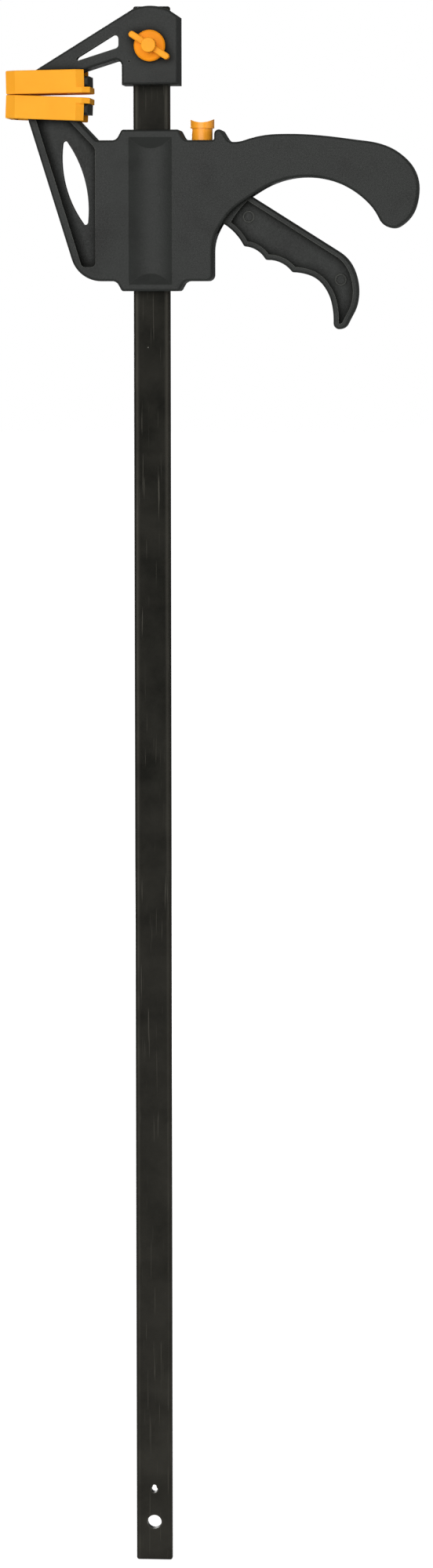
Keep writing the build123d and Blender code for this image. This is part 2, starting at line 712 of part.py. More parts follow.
def trigger_bay():
    left = BAR_WIDTH / 2 + CARRIAGE_BAR_CLEARANCE
    foot_z = TRIGGER_BAY_FLOOR[-1][1]
    face = front_face(
        *chain(
            (left, TRIGGER_BAY_TOP_Z),
            *TRIGGER_BAY_ROOF,
            *TRIGGER_BAY_FLOOR,
            (left, foot_z),
            (left, TRIGGER_BAY_TOP_Z),
        )
    )
    return both_ways(face, WIDE_BAY_DEPTH)


def handle_hollow():
    face = front_face(*chain(*HANDLE_HOLLOW, HANDLE_HOLLOW[0]))
    face += disc_face(HANDLE_END_X, HANDLE_END_Z, HANDLE_END_RADIUS - HANDLE_WALL)
    face -= disc_face(GRIP_X, GRIP_Z, GRIP_RADIUS + HANDLE_WALL)
    for x, z in SHELL_SCREW_PLACES:
        face -= disc_face(x, z, SHELL_BOSS_RADIUS)
    return both_ways(face, WIDE_BAY_DEPTH)


SCREW_SEAT_Y = HALF - SHELL_SCREW_SINK
SCREW_POINT_Y = SCREW_SEAT_Y - SHELL_SCREW_LENGTH
PIN_END_Y = HALF - PIN_COVER


def half_shell():
    """The front half of the carriage, without its screw holes."""
    blank = round_rim(slab(carriage_outline(), -HALF, 0), -HALF, MOULDING_EDGE_ROUND)
    blank = chamfer(blank.edges().group_by(Axis.Y)[-1], PARTING_BEVEL)
    return (
        blank
        - arm_pocket()
        - leaf_window()
        - front_channel()
        - bar_passage(CARRIAGE_BAR_CLEARANCE, BOSS_BASE_Z - PAST, BOSS_TOP_Z + PAST)
        - mechanism_bays()
        - trigger_bay()
        - handle_hollow()
        - across(PIVOT_X, PIVOT_Z, PIN_RADIUS + PIN_FIT, -PIN_END_Y, PIN_END_Y)
    )


def front_shell():
    shell = half_shell()
    for x, z in SHELL_SCREW_PLACES:
        shell -= across(x, z, SHELL_SCREW_RADIUS + SHELL_SCREW_FIT, SCREW_POINT_Y, PAST)
    return shell


def rear_shell():
    shell = mirror(half_shell(), about=Plane.XZ)
    for x, z in SHELL_SCREW_PLACES:
        shell -= across(x, z, SHELL_SCREW_RADIUS + SHELL_SCREW_CLEARANCE, -PAST, HALF)
        shell -= across(x, z, SHELL_SCREW_HEAD_RADIUS + SHELL_SCREW_CLEARANCE, SCREW_SEAT_Y, HALF + PAST)
    return shell


def shell_screws():
    screws = Part()
    for x, z in SHELL_SCREW_PLACES:
        screws += across(x, z, SHELL_SCREW_RADIUS, SCREW_POINT_Y, SCREW_SEAT_Y)
        screws += across(x, z, SHELL_SCREW_HEAD_RADIUS, SCREW_SEAT_Y, SCREW_SEAT_Y + SHELL_SCREW_HEAD_HEIGHT)
    return screws


# Trigger

def trigger():
    half = TRIGGER_THICKNESS / 2
    nose_x = PIVOT_X - NOSE_ARM
    nose_z = PIVOT_Z - NOSE_DROP
    nose_low = (nose_x, nose_z - NOSE_TIP_RADIUS)
    nose_high = (nose_x, nose_z + NOSE_TIP_RADIUS)
    heel = (TRIGGER_HEEL_X, nose_low[1])
    back_start, back_end = TRIGGER_BACK
    back_heading = degrees(atan2(back_end[1] - back_start[1], back_end[0] - back_start[0]))
    toe = arcs_through((back_end, back_heading), *TRIGGER_STATIONS, (TRIGGER_CRESTS[0], 180))
    grooves = []
    for start, end, depth in zip(TRIGGER_CRESTS, TRIGGER_CRESTS[1:], TRIGGER_GROOVES):
        grooves.append(bulged(start, end, -depth))
    outline = front_face(
        *chain(nose_high, (PIVOT_X, PIVOT_Z + TRIGGER_BOSS_RADIUS), back_start, back_end),
        *toe,
        *grooves,
        *chain(TRIGGER_CRESTS[-1], heel, nose_low),
        ThreePointArc(nose_low, (nose_x - NOSE_TIP_RADIUS, nose_z), nose_high),
    )
    corners = [(crest, TRIGGER_CREST_ROUND) for crest in TRIGGER_CRESTS[:-1]]
    corners += [
        (TRIGGER_CRESTS[-1], TRIGGER_ENTRY_ROUND),
        (heel, TRIGGER_HEEL_ROUND),
        (back_start, TRIGGER_SHOULDER_ROUND),
    ]
    for (x, z), radius in corners:
        outline = fillet(near(outline.vertices(), x, z), radius)
    panel = offset(outline, -TRIGGER_RIM)
    panel &= disc_face(GRIP_X, GRIP_Z, GRIP_RADIUS - PANEL_CLEAR_OF_GRIP)
    lever = both_ways(outline, half)
    for side in (-1, 1):
        lever = round_rim(lever, side * half, TRIGGER_EDGE_ROUND)
    floor = half - TRIGGER_PANEL_DEPTH
    lever = lever - slab(panel, -half - PAST, -floor) - slab(panel, floor, half + PAST)
    for x, z in MARK_PLACES:
        ring = across(x, z, MARK_RADIUS, -floor - MARK_HEIGHT, floor + MARK_HEIGHT)
        lever += ring - across(x, z, MARK_RADIUS - MARK_LIP, -half, half)
    return lever - across(PIVOT_X, PIVOT_Z, PIN_RADIUS + PIN_RUNNING_CLEARANCE, -HALF, HALF)


def trigger_pin():
    return across(PIVOT_X, PIVOT_Z, PIN_RADIUS, -PIN_END_Y, PIN_END_Y)


# Driving plates, brake plates and springs

def drive_plate(level):
    """One of the driving plates, level 0 on top."""
    middle_z = DRIVE_TOP_Z - DRIVE_PLATE_THICKNESS / 2 - level * (DRIVE_PLATE_THICKNESS + PLATE_STACK_GAP)
    plate = Pos((DRIVE_PLATE_LEFT_X + DRIVE_PLATE_RIGHT_X) / 2, 0, middle_z) * Box(
        DRIVE_PLATE_RIGHT_X - DRIVE_PLATE_LEFT_X, PLATE_WIDTH, DRIVE_PLATE_THICKNESS
    )
    return plate - bar_passage(
        PLATE_SLOT_CLEARANCE, middle_z - DRIVE_PLATE_THICKNESS, middle_z + DRIVE_PLATE_THICKNESS
    )


def drive_spring():
    return coil(
        DRIVE_SPRING_X,
        DRIVE_SPRING_RADIUS,
        DRIVE_SPRING_WIRE,
        DRIVE_SPRING_TURNS,
        DRIVE_SEAT_Z + SPRING_END_GAP,
        DRIVE_FOOT_Z - SPRING_END_GAP,
    )


def brake_plate(side):
    """One of the brake plates, +1 for the upper one, tilted so that its slot grips the bar."""
    tilt = radians(BRAKE_TILT)
    reach = (BRAKE_REACH_X - BRAKE_PIVOT_X) / cos(tilt)
    slot_length = (BAR_WIDTH + 2 * BRAKE_BITE_CLEARANCE + 2 * BRAKE_STACK_HALF * sin(tilt)) / cos(tilt)
    slot_width = BAR_THICKNESS + 2 * PLATE_SLOT_CLEARANCE
    plan = Pos((reach - BRAKE_TAIL) / 2, 0) * Rectangle(reach + BRAKE_TAIL, PLATE_WIDTH)
    plan -= Pos(-BRAKE_PIVOT_X / cos(tilt), 0) * Rectangle(slot_length, slot_width)
    low = PLATE_STACK_GAP / 2 if side > 0 else -BRAKE_STACK_HALF
    plate = Pos(0, 0, low) * extrude(plan, amount=BRAKE_PLATE_THICKNESS)
    return Pos(BRAKE_PIVOT_X, 0, BRAKE_PIVOT_Z) * (Rot(0, -BRAKE_TILT, 0) * plate)


def brake_spring():
    left_x = BRAKE_SPRING_X - BRAKE_SPRING_RADIUS - BRAKE_SPRING_WIRE
    return coil(
        BRAKE_SPRING_X,
        BRAKE_SPRING_RADIUS,
        BRAKE_SPRING_WIRE,
        BRAKE_SPRING_TURNS,
        BRAKE_SEAT_Z + SPRING_END_GAP,
        brake_height(left_x, -BRAKE_STACK_HALF) - SPRING_END_GAP,
    )


def release_button():
    flange_top = BRAKE_BAY_TOP_Z - BUTTON_FLANGE_GAP
    flange_foot = flange_top - BUTTON_FLANGE_HEIGHT
    foot_z = brake_height(BUTTON_X + BUTTON_FOOT_RADIUS, BRAKE_STACK_HALF) + BUTTON_TOUCH_GAP
    head = upright(BUTTON_X, BUTTON_HEAD_RADIUS, BUTTON_HEAD_Z, BUTTON_TOP_Z)
    saddle_radius = (BUTTON_HEAD_RADIUS**2 + BUTTON_SADDLE**2) / (2 * BUTTON_SADDLE)
    saddle_z = BUTTON_TOP_Z - BUTTON_SADDLE + saddle_radius
    head -= across(BUTTON_X, saddle_z, saddle_radius, -HALF, HALF)
    return (
        head
        + upright(BUTTON_X, BUTTON_STEM_RADIUS, flange_foot, BUTTON_HEAD_Z + BUTTON_EDGE_ROUND)
        + upright(BUTTON_X, BUTTON_FLANGE_RADIUS, flange_foot, flange_top)
        + upright(BUTTON_X, BUTTON_FOOT_RADIUS, foot_z, flange_foot)
    )


pieces = {
    "bar": bar(),
    "fixed_jaw": fixed_jaw(),
    "fixed_pad": pad(1),
    "moving_pad": pad(-1),
    "wing_knob": wing_knob(),
    "wing_screw": wing_screw(),
    "captive_nut": captive_nut(),
    "front_shell": front_shell(),
    "rear_shell": rear_shell(),
    "shell_screws": shell_screws(),
    "trigger": trigger(),
    "trigger_pin": trigger_pin(),
    "drive_plate_top": drive_plate(0),
    "drive_plate_middle": drive_plate(1),
    "drive_plate_bottom": drive_plate(2),
    "brake_plate_upper": brake_plate(1),
    "brake_plate_lower": brake_plate(-1),
    "release_button": release_button(),
}
for name, make in (("drive_spring", drive_spring), ("brake_spring", brake_spring)):
    pieces[name], turn_gap = make()
    print(f"{name}: {turn_gap:.2f} mm between turns")
for name, piece in pieces.items():
    export_step(piece, f"parts/{name}.step")
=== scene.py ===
from math import cos, pi, radians

import bpy
from bpy.props import FloatProperty, FloatVectorProperty, PointerProperty
from mathutils import Matrix, Vector


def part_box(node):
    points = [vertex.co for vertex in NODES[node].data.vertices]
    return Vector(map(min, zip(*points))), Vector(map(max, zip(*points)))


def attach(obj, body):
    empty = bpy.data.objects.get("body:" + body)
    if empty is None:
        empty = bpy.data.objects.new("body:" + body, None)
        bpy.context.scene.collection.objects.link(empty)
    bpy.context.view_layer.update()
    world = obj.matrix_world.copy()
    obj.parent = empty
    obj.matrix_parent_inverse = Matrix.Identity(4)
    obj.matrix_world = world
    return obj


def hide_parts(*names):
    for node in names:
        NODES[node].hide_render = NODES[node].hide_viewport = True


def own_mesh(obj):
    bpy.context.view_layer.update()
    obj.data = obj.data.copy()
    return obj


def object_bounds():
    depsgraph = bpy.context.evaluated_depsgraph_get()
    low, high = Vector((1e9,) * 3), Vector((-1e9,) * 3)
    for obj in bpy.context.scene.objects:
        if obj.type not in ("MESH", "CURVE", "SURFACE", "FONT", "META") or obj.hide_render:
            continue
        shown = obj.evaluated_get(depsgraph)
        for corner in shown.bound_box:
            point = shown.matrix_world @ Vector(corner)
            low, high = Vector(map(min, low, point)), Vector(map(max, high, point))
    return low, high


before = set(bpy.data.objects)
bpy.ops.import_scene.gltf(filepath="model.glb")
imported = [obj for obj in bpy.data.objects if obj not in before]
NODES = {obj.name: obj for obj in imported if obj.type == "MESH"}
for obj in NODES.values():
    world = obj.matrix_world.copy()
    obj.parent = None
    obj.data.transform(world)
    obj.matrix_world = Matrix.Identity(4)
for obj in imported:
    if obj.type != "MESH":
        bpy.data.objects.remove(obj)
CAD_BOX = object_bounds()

bl_info = {
    "name": "One-handed bar clamp",
    "version": (1, 0, 0),
    "blender": (4, 5, 0),
    "location": "3D View > Sidebar > Clamp",
    "description": "Finishes, small hardware and studio for a one-handed bar clamp",
    "category": "Object",
}

MM = 0.001

# Finishes
MIX_FACTOR, MIX_A, MIX_B, MIX_RESULT = 0, 6, 7, 2  # sockets of a Mix node for colours
NOISE_SPREAD = {"From Min": 0.3, "From Max": 0.7}  # where most of a noise's values lie
EDGE_MARK_SAMPLES = 6
EDGE_MARK_MOST = 0.9  # how strongly the sharpest edge is marked, as rubbing and on the nylon also as a painted highlight
CORNER_MATT = 0.3  # roughness added in the mouldings' corners
CLEAN_CELLS = 0.72  # share of the bar's cells without a speck
FLANGE_FADE = 0.6 * MM  # depth over which the knob's painted shade fades in
KNOB_SHEEN = 0.05  # specular level
BUTTON_SHEEN = 0.3

# Hardware
THREAD_STEPS = 24  # in one turn of a thread
BARE_TURNS = 2  # turns left without thread, one at each end of a rod
THREAD_ROOT = 0.1 * MM  # how deep a thread's ridge is sunk in its core
TRIANGLE_HEIGHT = 1.5  # of an even triangle, over the radius of its circle
SPRING_STEPS = 32  # in one turn of a spring
DRIVE_TURNS = 5
BRAKE_TURNS = 4
WIRE_SIDES = 10
CORE_SIDES = 32
HEAD_SIDES = 48
BORE_SIDES = 48
CHAMFER_SIDES = 64
DOME_STEPS = 5
BORE_GAP = 0.06 * MM  # between the nut's bore and the screw
RECESS_SPAN = 1.2  # length of the cross cutter, over the radius of a screw's head
RECESS_TURN = radians(20)
RECESS_FOOT = 0.45  # the cross cutter's foot, over its top
CASE_SCREW_PLACES = [  # x and z in millimetres
    (-24.0, -33.0),
    (-24.0, -87.0),
    (26.6, -87.6),
    (88.0, -32.0),
    (124.0, -47.0),
]
UPRIGHT = (0, 0, 0)
FACING_BACK = (-pi / 2, 0, 0)  # the turn of a piece that is made along Z
HARD_EDGE = radians(35)  # an edge that turns further stays sharp
WIRE_EDGE = radians(50)
SAME_HEIGHT = 0.01 * MM
WELD = 0.001 * MM

# Studio, in metres
LAMPS = {  # place, then width and height
    "key": ((-0.5, -2.72, 0.42), (2.6, 1.8)),
    "side": ((2.1, -1.5, -0.1), (1.0, 1.6)),
    "fill": ((-0.3, -2.4, -1.5), (0.9, 1.2)),
    "back": ((-0.9, 2.6, 0.5), (1.2, 1.4)),
}
LAMP_AIM = (0.03, 0, -0.3)
SENSOR_MM = 36
FLOOR_SIDE = 40
FLOOR_CELLS = 8
FLOOR_GAP = 0.4 * MM  # under the foot of the bar
FLOOR_GREY = (0.5, 0.5, 0.5, 1)
WHITE = (1, 1, 1, 1)


def linear(code):
    """An sRGB hex colour as linear RGBA."""
    parts = [int(code[i : i + 2], 16) / 255 for i in (1, 3, 5)]
    return tuple(c / 12.92 if c <= 0.04045 else ((c + 0.055) / 1.055) ** 2.4 for c in parts) + (1.0,)


def cells_per(size_mm):
    """A texture's scale for features of that size, in millimetres, on coordinates in metres."""
    return 1 / (size_mm * MM)


def colour(name, description, code):
    return FloatVectorProperty(
        name=name, description=description, default=linear(code), size=4, subtype="COLOR", min=0, max=1
    )


def length(name, description, millimetres):
    return FloatProperty(
        name=name, description=description, default=millimetres * MM, min=0, unit="LENGTH", precision=5
    )


def point(name, description, place):
    return FloatVectorProperty(
        name=name, description=description, default=place, subtype="TRANSLATION", unit="LENGTH"
    )


def power(name, description, watts):
    return FloatProperty(name=name, description=description, default=watts, min=0, unit="POWER")


def share(name, description, value):
    return FloatProperty(
        name=name, description=description, default=value, min=0, max=1, subtype="FACTOR"
    )


class ClampColours(bpy.types.PropertyGroup):
    nylon: colour("Nylon", "Black glass-filled nylon of jaw, shells and trigger", "#202220")
    # Paler edges: partly rubbed, partly a painted highlight.
    nylon_rub_and_highlight: colour("Nylon, rubbed", "Grey where the nylon is rubbed", "#686962")
    # Also the painted shade in the mouldings' corners and recesses.
    nylon_smudge_and_shade: colour("Nylon, smudged", "Darker patches and corners of the nylon", "#131412")
    pad: colour("Pad", "Orange elastomer of the jaw pads", "#fbac2e")
    pad_deep: colour("Pad, deep", "Denser orange in the pads' mottling", "#f8a127")
    controls: colour("Knob and button", "Orange ABS of the wing knob and release button", "#fba42a")
    # Painted shade: the rear of the wing knob, its flange against the jaw, takes this deeper orange.
    knob_painted_shade: colour("Knob flange", "Deeper orange of the knob's thin flange", "#f29316")
    bar: colour("Bar", "Black oxide on the steel bar", "#11110f")
    # Besides real wear, this colour paints the highlights along the long edges and the paler foot.
    bar_worn_and_reflected_light: colour("Bar, worn", "Steel showing through the oxide", "#4a4842")
    bar_speck: colour("Bar specks", "Pale specks on the bar", "#d8d6cc")
    zinc: colour("Zinc", "Bright zinc plating on screws, nut and pin", "#b8bcc1")
    plate: colour("Plates", "Oiled stamped steel of driving and brake plates", "#77777a")
    spring: colour("Springs", "Drawn spring wire", "#8d8c8a")


class ClampSizes(bpy.types.PropertyGroup):
    thread_pitch: length("Thread pitch", "Rise of the wing screw's thread in one turn", 1.0)
    thread_depth: length("Thread depth", "Height of the wing screw's thread over its core", 0.6)
    nut_chamfer: length("Nut chamfer", "Width cut from the nut's corners", 0.8)
    drive_wire: length("Drive spring wire", "Radius of the driving spring's wire", 0.6)
    drive_travel: length("Drive spring travel", "How far the driving plates press their spring", 4.6)
    brake_wire: length("Brake spring wire", "Radius of the brake spring's wire", 0.5)
    brake_travel: length("Brake spring travel", "How far the brake plates press their spring", 3.3)
    # Also sets where the knob's painted shade starts, measured from the back of the knob.
    flange: length("Flange", "Thickness of the wing knob's flange", 4.0)
    screw_radius: length("Case screw radius", "Outer radius of the case screws' thread", 1.45)
    screw_thread: length("Case screw thread", "Height of the case screws' thread", 0.35)
    screw_pitch: length("Case screw pitch", "Rise of the case screws' thread in one turn", 1.2)
    screw_head: length("Case screw head", "Height of the case screws' heads", 2.2)
    screw_head_radius: length("Case screw head radius", "Radius of the case screws' heads", 3.1)
    screw_dome: length("Case screw dome", "Rounding of the case screws' pan heads", 1.1)
    recess_width: length("Recess width", "Width of the cross recess in a case screw", 0.9)
    recess_depth: length("Recess depth", "Depth of the cross recess in a case screw", 1.3)


class ClampStage(bpy.types.PropertyGroup):
    camera_place: point("Camera place", "Where the camera stands", (0.2138, -2.5806, -0.0966))
    camera_target: point(
        "Camera target", "The point in the middle of the picture", (0.0331, 0.0, -0.35695)
    )
    camera_roll: FloatProperty(
        name="Camera roll",
        description="Turn about the line of sight",
        default=radians(-0.05),
        unit="ROTATION",
    )
    lens: FloatProperty(
        name="Lens", description="Focal length on a 36 mm long side", default=114.25, unit="CAMERA"
    )
    key: power("Key light", "Power of the large softbox round the camera", 78.0)
    side: power("Side light", "Power of the softbox on the right", 14.0)
    fill: power("Fill light", "Power of the low softbox", 8.0)
    back: power("Back light", "Power of the softbox behind", 55.0)
    surround: share("Surround", "Light from the white studio walls", 0.22)
    room: share("Room", "Share of white that the room behind the camera shows", 0.14)


# Materials

def node(tree, kind, inputs=None, **settings):
    """Adds a node, with its settings, and its inputs as values or as sockets to link from."""
    made = tree.nodes.new(kind)
    for name, value in settings.items():
        setattr(made, name, value)
    for name, value in (inputs or {}).items():
        if isinstance(value, bpy.types.NodeSocket):
            tree.links.new(value, made.inputs[name])
        else:
            made.inputs[name].default_value = value
    return made


def surface(name):
    """A new material with its shader and the object's own coordinates."""
    material = bpy.data.materials.new(name)
    material.use_nodes = True
    tree = material.node_tree
    shader = tree.nodes["Principled BSDF"]
    place = node(tree, "ShaderNodeTexCoord").outputs["Object"]
    return material, tree, shader, place


def connect(tree, shader, tone, roughness, relief):
    """Links a finish's colour, roughness and relief to its shader."""
    tree.links.new(tone, shader.inputs["Base Color"])
    tree.links.new(roughness, shader.inputs["Roughness"])
    tree.links.new(relief, shader.inputs["Normal"])


def edge_wear_and_highlight(tree, radius, first, full):
    """How strongly edges are marked, from how much a rounding of that radius turns the surface.

    First and full are the cosines of that turn where the mark starts and where it is full. The bar
    takes the mark as wear, the nylon as wear and a painted highlight.
    """
    rounded = node(tree, "ShaderNodeBevel", {"Radius": radius}, samples=EDGE_MARK_SAMPLES)
    plain = node(tree, "ShaderNodeNewGeometry")
    turn = node(
        tree,
        "ShaderNodeVectorMath",
        {0: rounded.outputs["Normal"], 1: plain.outputs["Normal"]},
        operation="DOT_PRODUCT",
    ).outputs["Value"]
    return node(
        tree,
        "ShaderNodeMapRange",
        {"Value": turn, "From Min": first, "From Max": full, "To Max": EDGE_MARK_MOST},
    ).outputs["Result"]


def moulded_nylon():
    """Glass-filled nylon, injection moulded in a spark-eroded tool.

    It is an even charcoal with a dry, slightly sparkling grain and dull dark smudges where hands
    have been. Its corners are matt and darkened with painted shade, and its edges are paler,
    partly rubbed and partly a painted highlight.
    """
    colours = bpy.context.scene.clamp_colours
    material, tree, shader, place = surface("glass_filled_nylon_moulded")
    # The real grain is about 0.1 mm, drawn at 0.8 mm so that the picture can hold it.
    grain = node(
        tree, "ShaderNodeTexNoise", {"Vector": place, "Scale": cells_per(0.8), "Detail": 3.0}
    ).outputs["Fac"]
    flow = node(
        tree, "ShaderNodeTexNoise", {"Vector": place, "Scale": cells_per(22), "Detail": 5.0}
    ).outputs["Fac"]
    smudge = node(
        tree,
        "ShaderNodeMapRange",
        {"Value": flow, "From Min": 0.48, "From Max": 0.72, "To Max": 0.85},
    ).outputs["Result"]
    # Paler edges: partly rubbing, partly a painted highlight.
    edge_mark = edge_wear_and_highlight(tree, radius=0.8 * MM, first=0.98, full=0.80)
    broken = node(tree, "ShaderNodeMath", {0: edge_mark, 1: flow}, operation="MULTIPLY").outputs[0]
    # Painted shade: corners and recesses that the occlusion node finds are darkened towards the smudge
    # colour, and made matt.
    open_air = node(
        tree, "ShaderNodeAmbientOcclusion", {"Distance": 5.0 * MM}, samples=8
    ).outputs["AO"]
    corner = node(
        tree, "ShaderNodeMapRange", {"Value": open_air, "From Min": 0.95, "From Max": 0.45}
    ).outputs["Result"]
    # Real smudges and the painted corner shade, taken together.
    dull = node(tree, "ShaderNodeMath", {0: smudge, 1: corner}, operation="MAXIMUM").outputs[0]
    clean = node(
        tree,
        "ShaderNodeMix",
        {MIX_FACTOR: broken, MIX_A: colours.nylon, MIX_B: colours.nylon_rub_and_highlight},
        data_type="RGBA",
    ).outputs[MIX_RESULT]
    tone = node(
        tree,
        "ShaderNodeMix",
        {MIX_FACTOR: dull, MIX_A: clean, MIX_B: colours.nylon_smudge_and_shade},
        data_type="RGBA",
    ).outputs[MIX_RESULT]
    gloss = node(
        tree, "ShaderNodeMapRange", {"Value": grain, **NOISE_SPREAD, "To Min": 0.44, "To Max": 0.56}
    ).outputs["Result"]
    matt = node(
        tree, "ShaderNodeMath", {0: corner, 1: CORNER_MATT, 2: gloss}, operation="MULTIPLY_ADD"
    ).outputs[0]
    relief = node(
        tree, "ShaderNodeBump", {"Height": grain, "Strength": 0.28, "Distance": 0.25 * MM}
    ).outputs["Normal"]
    connect(tree, shader, tone, matt, relief)
    shader.inputs["IOR"].default_value = 1.53
    shader.inputs["Specular IOR Level"].default_value = 0.175
    return material


def blackened_steel():
    """Cold-drawn flat steel with a black oxide finish.

    It is a dark, faintly brown metal with fine lines along its length, cloudy patches, thin
    slanting scratches, bare steel along the rubbed edges and a few pale specks. Its long edges
    carry painted highlights, and its lower half is painted paler as a reflection of the floor.
    """
    colours = bpy.context.scene.clamp_colours
    material, tree, shader, place = surface("black_oxide_steel_drawn")
    # Drawing lines are about 0.05 mm apart, shown here at 0.5 mm and 60 mm long.
    drawn = (cells_per(0.5), cells_per(0.5), cells_per(60))
    stretched = node(tree, "ShaderNodeMapping", {"Vector": place, "Scale": drawn}).outputs["Vector"]
    lines = node(
        tree, "ShaderNodeTexNoise", {"Vector": stretched, "Scale": 1.0, "Detail": 3.0}
    ).outputs["Fac"]
    cloud = node(
        tree,
        "ShaderNodeTexNoise",
        {"Vector": place, "Scale": cells_per(26), "Detail": 6.0, "Roughness": 0.6},
    ).outputs["Fac"]
    fine = node(
        tree, "ShaderNodeTexNoise", {"Vector": place, "Scale": cells_per(1.6), "Detail": 4.0}
    ).outputs["Fac"]
    # Scratches are about 0.1 mm wide, shown at 0.7 mm and 30 mm long, slanting across the bar.
    stroke = (cells_per(0.7), cells_per(8), cells_per(30))
    slanted = node(
        tree,
        "ShaderNodeMapping",
        {"Vector": place, "Rotation": (0, radians(38), 0), "Scale": stroke},
    ).outputs["Vector"]
    strokes = node(
        tree, "ShaderNodeTexNoise", {"Vector": slanted, "Scale": 1.0, "Detail": 1.0}
    ).outputs["Fac"]
    scratch = node(
        tree,
        "ShaderNodeMapRange",
        {"Value": strokes, "From Min": 0.66, "From Max": 0.74, "To Max": 0.5},
    ).outputs["Result"]
    edge_mark = edge_wear_and_highlight(tree, radius=1.1 * MM, first=0.985, full=0.85)
    patch = node(
        tree,
        "ShaderNodeMapRange",
        {"Value": cloud, "From Min": 0.35, "From Max": 0.75, "To Max": 0.22},
    ).outputs["Result"]
    axes = node(tree, "ShaderNodeSeparateXYZ", {"Vector": place}).outputs
    # Painted reflection: the lower half is painted paler, as if it mirrored the bright floor.
    foot_reflection = node(
        tree,
        "ShaderNodeMapRange",
        {"Value": axes["Z"], "From Min": -0.25, "From Max": -0.75, "To Max": 0.18},
    ).outputs["Result"]
    worn = node(tree, "ShaderNodeMath", {0: edge_mark, 1: fine}, operation="MULTIPLY").outputs[0]
    # Painted highlight: a paler band along each long edge, where the rounded edges catch the light.
    across = node(tree, "ShaderNodeMath", {0: axes["X"]}, operation="ABSOLUTE").outputs[0]
    edge_highlight_band = node(
        tree,
        "ShaderNodeMapRange",
        {"Value": across, "From Min": 6.3 * MM, "From Max": 7.4 * MM, "To Max": 0.2},
    ).outputs["Result"]
    # Painted highlight: a thin brighter line just inside the left edge, broken up by the clouds.
    line_inside = node(
        tree,
        "ShaderNodeMapRange",
        {"Value": axes["X"], "From Min": -7.3 * MM, "From Max": -7.6 * MM},
    ).outputs["Result"]
    line_outside = node(
        tree,
        "ShaderNodeMapRange",
        {"Value": axes["X"], "From Min": -8.3 * MM, "From Max": -8.0 * MM, "To Max": 0.6},
    ).outputs["Result"]
    line = node(
        tree, "ShaderNodeMath", {0: line_inside, 1: line_outside}, operation="MULTIPLY"
    ).outputs[0]
    broken = node(tree, "ShaderNodeMath", {0: line, 1: cloud}, operation="MULTIPLY").outputs[0]
    # Both painted edge highlights, taken together.
    edges = node(tree, "ShaderNodeMath", {0: edge_highlight_band, 1: broken}, operation="MAXIMUM").outputs[0]
    # Painted edge highlights and the painted paler foot, taken together.
    rubbed = node(tree, "ShaderNodeMath", {0: edges, 1: foot_reflection}, operation="MAXIMUM").outputs[0]
    faded = node(tree, "ShaderNodeMath", {0: patch, 1: rubbed}, operation="ADD").outputs[0]
    clouded = node(tree, "ShaderNodeMath", {0: worn, 1: faded}, operation="ADD").outputs[0]
    bare = node(tree, "ShaderNodeMath", {0: clouded, 1: scratch}, operation="MAXIMUM").outputs[0]
    # The worn colour shows real wear, scratches and patches, and also paints the edge highlights and
    # the paler foot.
    tone = node(
        tree,
        "ShaderNodeMix",
        {MIX_FACTOR: bare, MIX_A: colours.bar, MIX_B: colours.bar_worn_and_reflected_light},
        data_type="RGBA",
    ).outputs[MIX_RESULT]
    # Specks about half a millimetre across lie in a quarter of the cells, which are 9 mm wide.
    dots = node(
        tree, "ShaderNodeTexVoronoi", {"Vector": place, "Scale": cells_per(9)}, feature="F1"
    ).outputs
    speck = node(
        tree,
        "ShaderNodeMapRange",
        {"Value": dots["Distance"], "From Min": 0.04, "From Max": 0.015, "To Max": 0.7},
    ).outputs["Result"]
    chance = node(tree, "ShaderNodeSeparateColor", {"Color": dots["Color"]}).outputs["Red"]
    kept = node(
        tree, "ShaderNodeMath", {0: chance, 1: CLEAN_CELLS}, operation="GREATER_THAN"
    ).outputs[0]
    specks = node(tree, "ShaderNodeMath", {0: speck, 1: kept}, operation="MULTIPLY").outputs[0]
    spotted = node(
        tree,
        "ShaderNodeMix",
        {MIX_FACTOR: specks, MIX_A: tone, MIX_B: colours.bar_speck},
        data_type="RGBA",
    ).outputs[MIX_RESULT]
    gloss = node(
        tree, "ShaderNodeMapRange", {"Value": cloud, **NOISE_SPREAD, "To Min": 0.48, "To Max": 0.60}
    ).outputs["Result"]
    relief = node(
        tree, "ShaderNodeBump", {"Height": lines, "Strength": 0.12, "Distance": 0.2 * MM}
    ).outputs["Normal"]
    connect(tree, shader, spotted, gloss, relief)
    shader.inputs["Metallic"].default_value = 1.0
    return material


